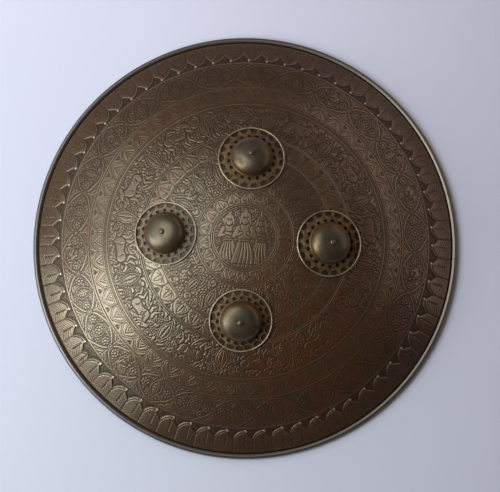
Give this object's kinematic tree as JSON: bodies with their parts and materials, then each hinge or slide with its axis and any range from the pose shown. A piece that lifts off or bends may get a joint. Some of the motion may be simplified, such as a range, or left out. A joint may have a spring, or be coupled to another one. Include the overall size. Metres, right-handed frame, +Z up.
{
  "type": "dhal shield",
  "caption": "Round domed steel shield with carved concentric bands, a scalloped petal border, a bound edge and studded pierced bosses, open and hollow behind.",
  "frame": {"origin": "centre of the circle that the rim rests on, in the plane of the surface below it", "axes": "+Z up through the centre of the dome, out of the shield's face; the bosses stand on the X and Y axes"},
  "size_m": [0.4499, 0.4498, 0.0883],
  "materials": {
    "dish_steel": "carved steel with a worn brown patina, bright on the high edges and dark in the ground",
    "rim_steel": "smooth dark brown steel, rubbed bright along its crest",
    "boss_steel": "polished dark steel dome over a pierced flange with worn gilding",
    "stud_steel": "small bright rubbed steel head"
  },
  "bodies": {
    "root": {"dish": "dish_steel", "rim_binding_far": "rim_steel", "rim_binding_near": "rim_steel", "rim_binding_short": "rim_steel", "boss_right": "boss_steel", "boss_far": "boss_steel", "boss_left": "boss_steel", "boss_near": "boss_steel", "stud_right": "stud_steel", "stud_far": "stud_steel", "stud_left": "stud_steel", "stud_near": "stud_steel"}
  },
  "joints": []
}
